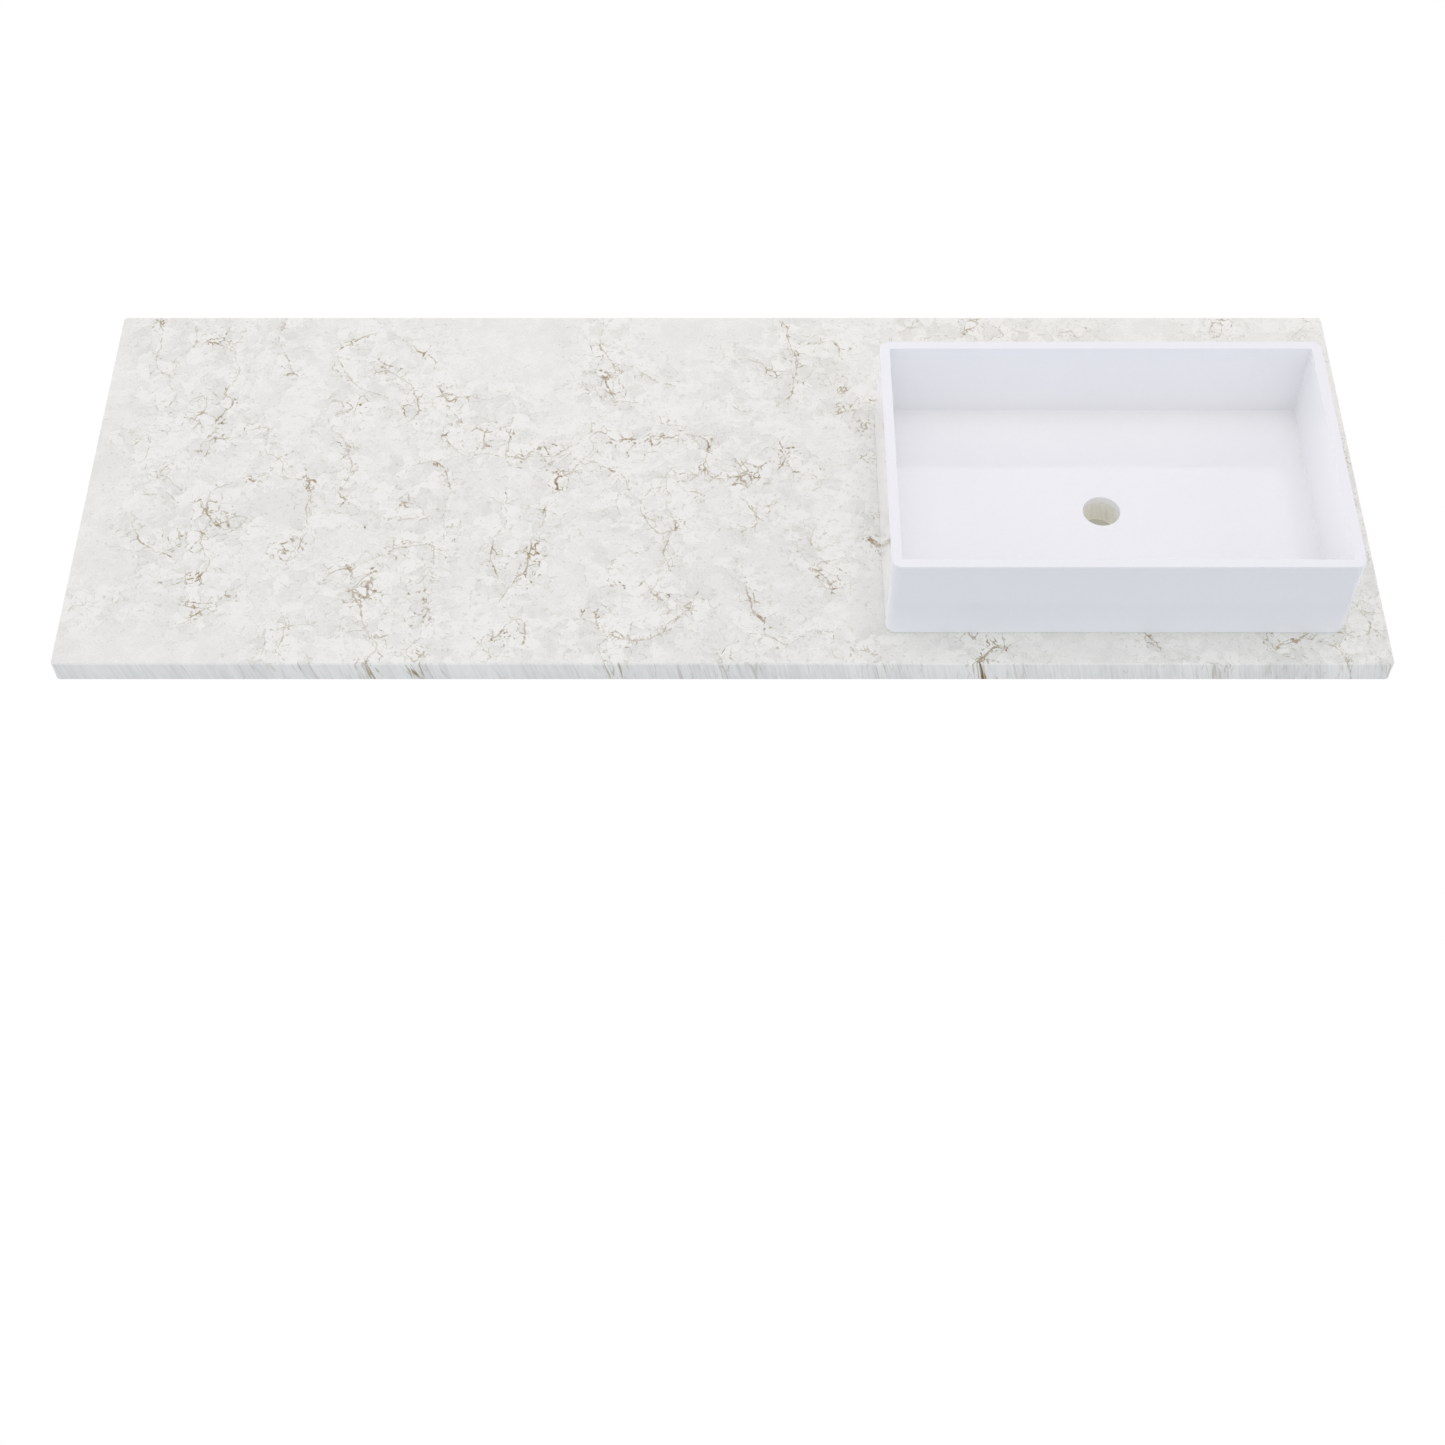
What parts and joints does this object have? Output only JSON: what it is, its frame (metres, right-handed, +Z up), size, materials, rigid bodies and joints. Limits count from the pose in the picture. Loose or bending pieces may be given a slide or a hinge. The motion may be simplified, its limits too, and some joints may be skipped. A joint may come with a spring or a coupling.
{
  "type": "vanity sink top",
  "caption": "Stone vanity slab with a rectangular straight-walled basin, made up of bonded sheet, standing on it over an open drain hole.",
  "frame": {"origin": "the middle of the slab's underside", "axes": "+X along the slab to the right as its user sees it, +Y to the wall behind it, +Z up"},
  "size_m": [1.5494, 0.5588, 0.151],
  "materials": {
    "quartz": "satin",
    "solid_surface": "satin",
    "sealant": "satin"
  },
  "bodies": {
    "root": {"countertop_slab": "quartz", "basin_floor": "solid_surface", "basin_front_wall": "solid_surface", "basin_back_wall": "solid_surface", "basin_left_wall": "solid_surface", "basin_right_wall": "solid_surface", "basin_seal": "sealant", "drain_seal": "sealant"}
  },
  "joints": []
}
